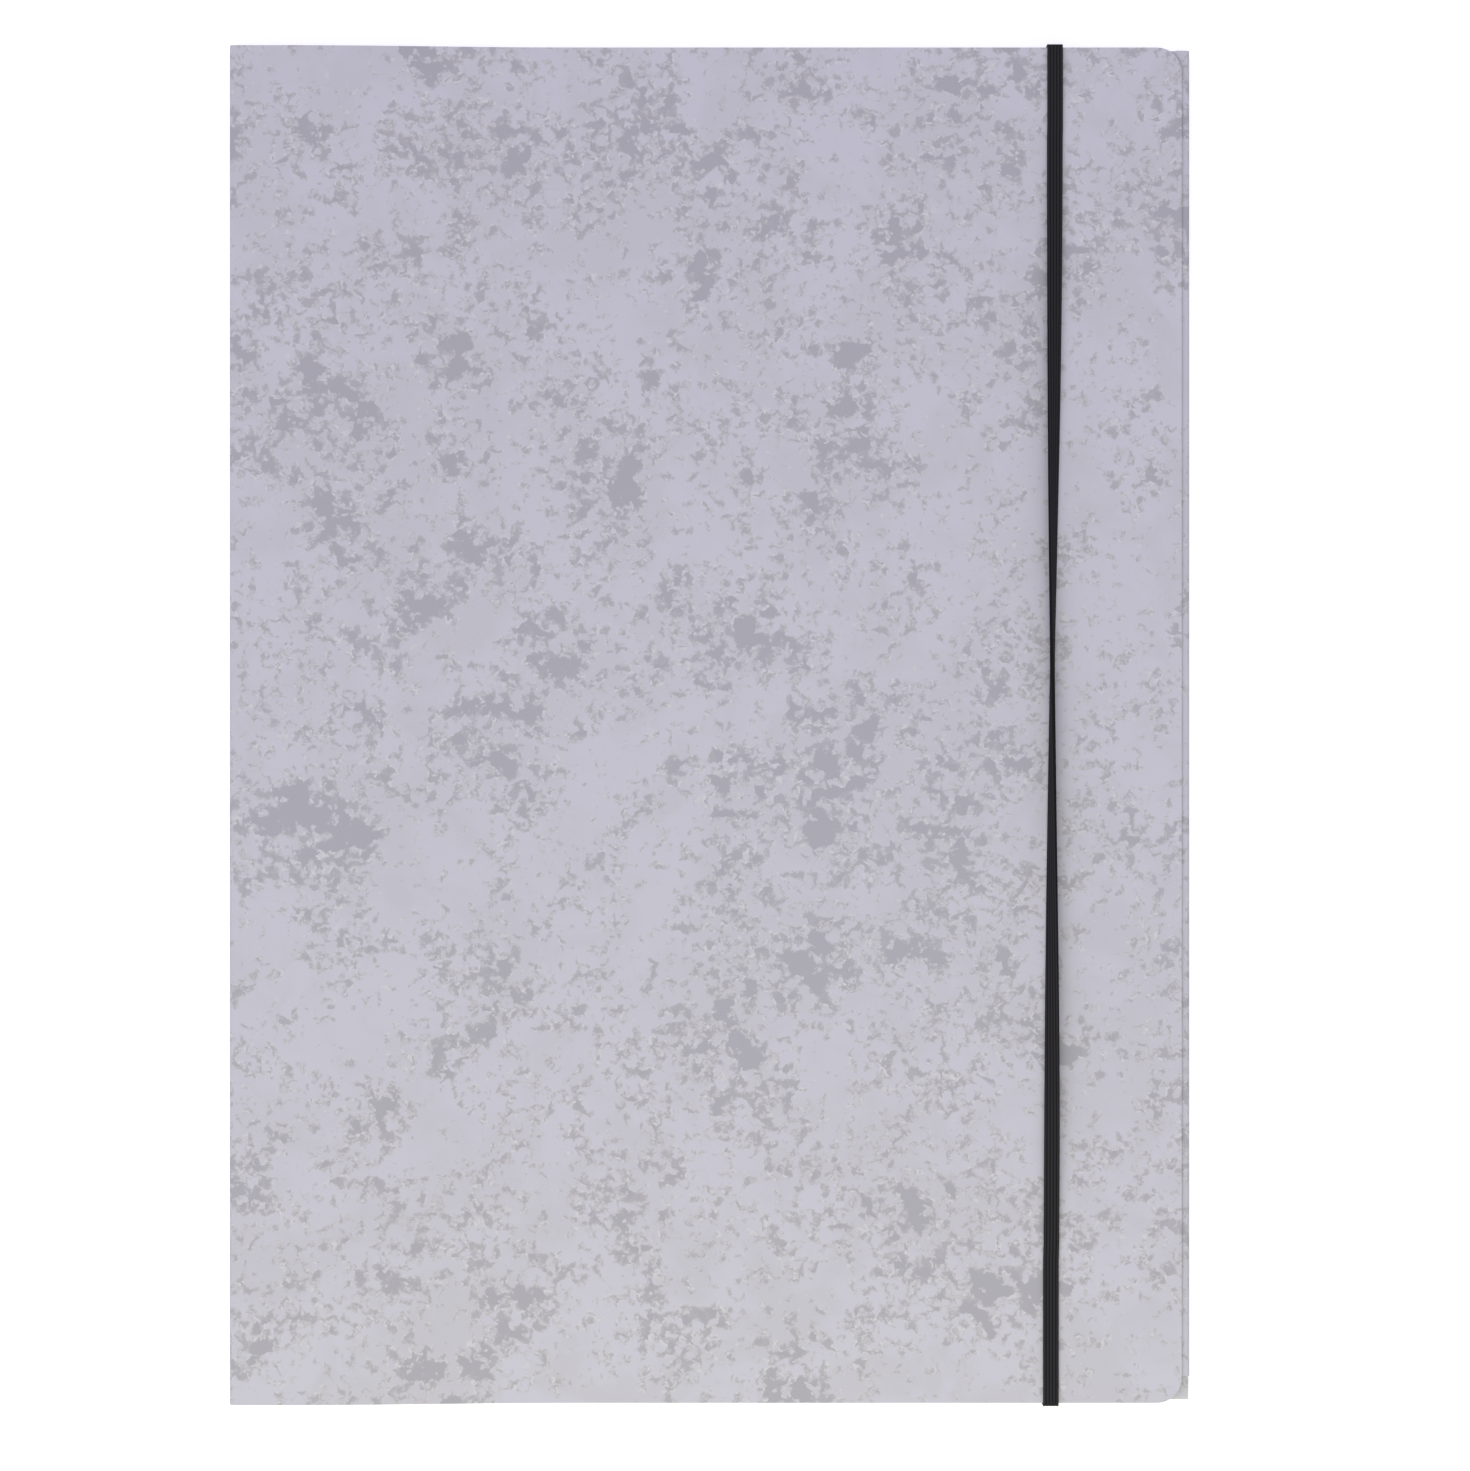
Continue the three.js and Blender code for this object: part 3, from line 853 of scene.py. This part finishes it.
@dataclass
class CoverSheet:
    """Spine and front cover, one sheet that bends at the spine's fold."""

    card: CardFinishes
    board: float = 0.8 * MM
    fold_radius: float = 0.8 * MM
    bend_steps: int = 8
    seam_x: float = -157.0 * MM
    lap: float = 0.4 * MM
    sag_start: float = 20 * MM
    sag_end: float = 112 * MM
    sag_steps: int = 40
    corner_radius: float = 8.3 * MM
    corner_share: float = 0.999
    corner_steps: int = 12
    rows: int = 12
    hinge_reach: float = 1.1 * MM

    def __post_init__(self) -> None:
        """Works out its edges from the CAD nodes that it stands for."""
        body_low, body_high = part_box("folder_body")
        low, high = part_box("front_cover")
        half = self.board / 2
        self.hinge = Vector((body_low[0] + half, 0, high[2] - half))
        self.lap_z = body_low[2] + half
        self.spine_y = body_high[1]
        self.cover_y = high[1]
        self.rest_z = low[2] + half
        self.free_x = high[0]

    def profile(self) -> list[Vector]:
        """Works out the sheet's middle line.

        Returns:
            The line's points, from the lap under the spine to the free edge.
        """
        spine = rounded_path(
            [
                (self.seam_x - self.lap, self.lap_z),
                (self.hinge.x, self.lap_z),
                (self.hinge.x, self.hinge.z),
                (self.hinge.x + self.sag_start, self.hinge.z),
            ],
            self.fold_radius,
            self.bend_steps,
        )
        points = [Vector((x, 0, z)) for x, z in spine]
        for i in range(1, self.sag_steps + 1):
            share = i / self.sag_steps
            ease = share * share * (3 - 2 * share)
            x = self.hinge.x + self.sag_start + (self.sag_end - self.sag_start) * share
            points.append(Vector((x, 0, self.hinge.z + (self.rest_z - self.hinge.z) * ease)))
        points.append(Vector((self.free_x - self.corner_radius, 0, self.rest_z)))
        points.append(Vector((self.free_x, 0, self.rest_z)))
        return points

    def build(self) -> bpy.types.Object:
        """Makes the sheet.

        Returns:
            The finished piece.
        """
        path = self.profile()
        start = path[0]
        low = (start.x, -self.spine_y)
        piece = start_plane("card_cover", low, (self.seam_x, self.spine_y), self.lap_z)
        select_where(piece, lambda v: close_to(v.x, start.x), edges=True)
        pull_edge(path)
        grown = self.cover_y - self.spine_y
        above = self.hinge.z - self.fold_radius / 2

        def cover_end(v: Vector, sign: int) -> bool:
            """Whether a vertex is at one end of the cover, past the spine."""
            return sign * v.y > END_ZONE_Y and (v.z > above or v.x > self.seam_x + MM)

        for side in Side:
            move = (0, side.value * grown, 0)
            shift(piece, lambda v, sign=side.value: cover_end(v, sign), move)
        reach = self.corner_radius * self.corner_share
        round_corners(piece, lambda v: close_to(v.x, self.free_x), reach, self.corner_steps)
        cut_across([self.spine_y * (2 * i / self.rows - 1) for i in range(1, self.rows)], 1)
        mesh = bmesh.from_edit_mesh(piece.data)
        mesh.faces.ensure_lookup_table()
        top = max(mesh.faces, key=lambda face: face.calc_center_median().x)
        if top.normal.z < 0:
            bpy.ops.mesh.select_all(action="SELECT")
            bpy.ops.mesh.flip_normals()
        self.card.dress(piece)
        thicken(piece, self.board)
        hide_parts("front_cover")
        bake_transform(piece)
        return piece


@dataclass(frozen=True)
class Station:
    """One place along the elastic: its middle, its outer face's direction and its turn."""

    middle: Vector
    out: Vector
    turn: float


@dataclass
class ElasticRibbon:
    """The flat ribbed elastic, with half a turn in it, round both edges of the closed cover."""

    width: float = 5.3 * MM
    thickness: float = 0.8 * MM
    ribs: int = 5
    rib_points: int = 6
    rib_depth: float = 0.17 * MM
    bend_radius: float = 0.8 * MM
    bend_steps: int = 8
    stretch_steps: int = 10
    board: float = 0.8 * MM
    clasp_lap: float = 0.7 * MM
    top_x: float = 114.3 * MM
    bottom_x: float = 112.9 * MM
    twist_top_y: float = 195 * MM
    twist_bottom_y: float = -172 * MM
    twist_steps: int = 130
    upper_ease: float = 0.8
    lower_ease: float = 1.0
    twist_drift: float = 0.5 * MM
    float_height: float = 1.5 * MM
    standing_swell: float = 0.95 * MM
    swell_power: int = 6
    gap: float = 0.3 * MM
    settled: float = 0.84

    def __post_init__(self) -> None:
        """Works out its route from the CAD node that it stands for."""
        low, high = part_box("elastic_band")
        self.slot_z = low[2] + self.thickness / 2
        self.wrap_y = high[1] - self.thickness / 2
        self.rest_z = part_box("front_cover")[0][2] + self.board + self.gap
        self.end_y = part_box("band_clasp_top")[0][1] + self.clasp_lap

    def section(self) -> list[Point2]:
        """Draws the ribbon's section.

        Returns:
            Its points, across and through, the outer face first.
        """
        rib = self.width / self.ribs
        face = []
        for i in range(self.ribs * self.rib_points):
            across = -self.width / 2 + (i + 0.5) * rib / self.rib_points
            crest = math.sqrt(abs(math.sin(math.pi * (across + self.width / 2) / rib)))
            through = self.thickness / 2 - self.rib_depth * (1 - crest)
            face.append((across, through))
        return [*face, *[(-across, -through) for across, through in face]]

    def swollen(self, point: Point2, turn: float) -> Point2:
        """Makes the section rounder where the ribbon stands up.

        Args:
            point: A point of the flat ribbon's section.
            turn: How far the ribbon is turned there.

        Returns:
            The point in its new place.
        """
        across, through = point
        share = abs(math.sin(turn)) ** self.swell_power
        bulge = math.sqrt(max(0.0, 1 - (2 * across / self.width) ** 2))
        return (across, through + math.copysign(self.standing_swell / 2 * share * bulge, through))

    def end_stations(self, side: Side) -> list[Station]:
        """Works out the route from inside the clasp, through the slot and round the edge.

        Args:
            side: The end.

        Returns:
            The stations from the clasp to where the turn starts.
        """
        lay_z = self.rest_z + self.thickness / 2
        sign = side.value
        x = self.top_x if side is Side.TOP else self.bottom_x
        start_y = self.twist_top_y if side is Side.TOP else -self.twist_bottom_y
        corners = [
            (self.end_y, self.slot_z),
            (self.wrap_y, self.slot_z),
            (self.wrap_y, lay_z),
            (start_y, lay_z),
        ]
        path = rounded_path(corners, self.bend_radius, self.bend_steps)
        shares = [i / self.stretch_steps for i in range(self.stretch_steps - 1, 0, -1)]
        stretch = [path[-1][0] + (path[-2][0] - path[-1][0]) * share for share in shares]
        points = [Vector(p) for p in (*path[:-1], *[(y, lay_z) for y in stretch])]
        turn = 0.0 if side is Side.TOP else math.pi
        stations = []
        for i, point in enumerate(points):
            along = (points[min(i + 1, len(points) - 1)] - points[max(i - 1, 0)]).normalized()
            out = Vector((0, sign * along.y, -along.x))
            stations.append(Station(Vector((x, sign * point.x, point.y)), out, turn))
        return stations

    def stations(self) -> list[Station]:
        """Works out the whole route. Going down, the left edge rises first.

        Returns:
            The stations from the top clasp to the bottom one.
        """
        run = []
        for i in range(self.twist_steps + 1):
            share = i / self.twist_steps
            away = 2 * share - 1
            ease = self.upper_ease if away < 0 else self.lower_ease
            turn = -math.pi / 2 * (1 + math.copysign(abs(away) ** ease, away))
            rise = abs(math.sin(turn))
            lift = self.thickness / 2 * abs(math.cos(turn)) + self.width / 2 * rise
            lift += self.float_height * 4 * rise * (1 - rise) * (1 - rise**4)
            y = self.twist_top_y + (self.twist_bottom_y - self.twist_top_y) * share
            across = (self.wrap_y - y) / (2 * self.wrap_y)
            x = self.top_x + (self.bottom_x - self.top_x) * across - self.twist_drift * rise
            run.append(Station(Vector((x, y, self.rest_z + lift)), Vector((0, 0, 1)), turn))
        return [*self.end_stations(Side.TOP), *run, *reversed(self.end_stations(Side.BOTTOM))]

    def build(self) -> bpy.types.Object:
        """Lofts the ribbon with a UV map: across as a share of its width, along in millimetres.

        Returns:
            The finished piece.
        """
        section = self.section()
        count = len(section)
        right = Vector((1, 0, 0))
        mesh = bmesh.new()
        rings = []
        lengths = []
        length = 0.0
        before = None
        for station in self.stations():
            cosine, sine = math.cos(station.turn), math.sin(station.turn)
            wide = right * cosine + station.out * sine
            thick = station.out * cosine - right * sine
            shape = [self.swollen(point, station.turn) for point in section]
            rings.append([mesh.verts.new(station.middle + wide * u + thick * v) for u, v in shape])
            length += (station.middle - before).length / MM if before else 0.0
            lengths.append(length)
            before = station.middle
        uv = mesh.loops.layers.uv.new("UVMap")
        shares = [u / self.width + 0.5 for u, _ in section]
        for row, (ring, following) in enumerate(zip(rings, rings[1:])):
            for i in range(count):
                j = (i + 1) % count
                face = mesh.faces.new((ring[j], ring[i], following[i], following[j]))
                face.smooth = True
                corners = ((j, row), (i, row), (i, row + 1), (j, row + 1))
                for loop, (point, at) in zip(face.loops, corners):
                    loop[uv].uv = (shares[point], lengths[at])
        mesh.faces.new(rings[0])
        mesh.faces.new(list(reversed(rings[-1])))
        bmesh.ops.recalc_face_normals(mesh, faces=mesh.faces)
        data = bpy.data.meshes.new("elastic")
        mesh.to_mesh(data)
        mesh.free()
        piece = bpy.data.objects.new("elastic", data)
        bpy.context.collection.objects.link(piece)
        data.materials.append(WovenElastic().material())
        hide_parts("elastic_band")
        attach(piece, "folder")
        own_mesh(piece)
        return piece


@dataclass
class Clasps:
    """The steel clasps behind the slots, whose CAD shape is right as it is."""

    names: tuple[str, ...] = ("band_clasp_top", "band_clasp_bottom")

    def dress(self) -> None:
        """Gives the clasps their steel."""
        steel = RolledSteel().material()
        for name in self.names:
            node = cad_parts[name]
            node.data.materials.clear()
            node.data.materials.append(steel)


# Stage


@dataclass
class Studio:
    """White table, soft light and the camera straight above the folder."""

    sight_distance: float = 1.0
    px_per_m: float = 3012.2
    sensor: float = 36.0
    sight_limit: float = 100.0
    centre_px: Point2 = (710.6, 725.2)
    plane_z: float = 8.6 * MM
    table_size: float = 40.0
    table_drop: float = 0.1 * MM
    table_shade: float = 0.75
    table_glow: float = 0.5
    room_light: float = 0.637
    room_tint: Triple = (0.877, 0.857, 1.0)
    key_strength: float = 0.5
    key_place: Triple = (-0.64, 0.1, 0.77)
    key_spread: float = math.radians(40)
    top_strength: float = 0.38
    top_place: Triple = (0.0, 0.0, 1.0)
    top_spread: float = math.radians(50)
    bounce_watts: float = 7.1
    bounce_tint: Triple = (0.95, 1.0, 0.46)
    bounce_place: Triple = (0.0, -1.0, 0.8)
    bounce_size: float = 0.9

    def place_camera(self) -> None:
        """Sets the camera at the photograph's place."""
        data = bpy.data.cameras.new("camera")
        data.sensor_fit = "HORIZONTAL"
        data.sensor_width = self.sensor
        data.lens = self.sensor * self.sight_distance / (PHOTO_WIDTH_PX / self.px_per_m)
        data.clip_end = self.sight_limit
        camera = bpy.data.objects.new("camera", data)
        bpy.context.collection.objects.link(camera)
        x = (PHOTO_WIDTH_PX / 2 - self.centre_px[0]) / self.px_per_m
        y = (self.centre_px[1] - PHOTO_HEIGHT_PX / 2) / self.px_per_m
        camera.location = (x, y, self.plane_z + self.sight_distance)
        bpy.context.scene.camera = camera

    def lay_table(self) -> None:
        """Lays the table: it takes shadows, and looks white to the camera and in reflections."""
        deselect_all()
        bpy.ops.mesh.primitive_plane_add(size=self.table_size, location=(0, 0, -self.table_drop))
        table = bpy.context.object
        table.name = "table"
        g = Graph("white_table")
        shade = (self.table_shade, self.table_shade, self.table_shade, 1)
        white = g.finish(shade, 0.9, metallic=0.0, specular=0.1)
        path = g.add("ShaderNodeLightPath")
        seen = g.math("MAXIMUM", path.outputs["Is Camera Ray"], path.outputs["Is Glossy Ray"])
        seen = g.math("MAXIMUM", seen, path.outputs["Is Transmission Ray"])
        g.put((1, 1, 1, 1), g.shader.inputs["Emission Color"])
        g.put(g.math("MULTIPLY", seen, self.table_glow), g.shader.inputs["Emission Strength"])
        table.data.materials.append(white)

    def light(self) -> None:
        """Adds even light from the room and above, a soft key and a warm bounce in front."""
        world = bpy.data.worlds.new("room")
        bpy.context.scene.world = world
        world.use_nodes = True
        background = world.node_tree.nodes["Background"]
        background.inputs["Color"].default_value = (*self.room_tint, 1)
        background.inputs["Strength"].default_value = self.room_light
        suns = (
            ("key", self.key_place, self.key_strength, self.key_spread),
            ("top", self.top_place, self.top_strength, self.top_spread),
        )
        for name, place, strength, spread in suns:
            sun = self.lamp(name, "SUN", place)
            sun.energy = strength
            sun.angle = spread
            sun.color = self.room_tint
        bounce = self.lamp("bounce", "AREA", self.bounce_place)
        bounce.shape = "DISK"
        bounce.size = self.bounce_size
        bounce.energy = self.bounce_watts
        bounce.color = self.bounce_tint

    def lamp(self, name: str, kind: str, place: Sequence[float]) -> bpy.types.Light:
        """Adds a lamp that points at the middle of the table.

        Args:
            name: The lamp's name.
            kind: The lamp's type.
            place: Where it hangs, in metres.

        Returns:
            The lamp's data.
        """
        data = bpy.data.lights.new(name, kind)
        lamp = bpy.data.objects.new(name, data)
        bpy.context.collection.objects.link(lamp)
        lamp.location = place
        lamp.rotation_euler = (-Vector(place)).to_track_quat("-Z", "Y").to_euler()
        return data

    def build(self) -> None:
        """Makes the camera, the table and the light."""
        self.place_camera()
        self.lay_table()
        self.light()
        bpy.context.scene.view_settings.view_transform = "Standard"


def main() -> None:
    """Builds the stage and the pieces in order, and reports each."""
    Studio().build()
    card = CardFinishes()
    for maker in (FoldedSheet(card), CoverSheet(card), ElasticRibbon()):
        piece = maker.build()
        log.info("%s: %d faces", piece.name, len(piece.data.polygons))
    Clasps().dress()
    log.info("clasps dressed")
    deselect_all()


if __name__ == "__main__":
    main()
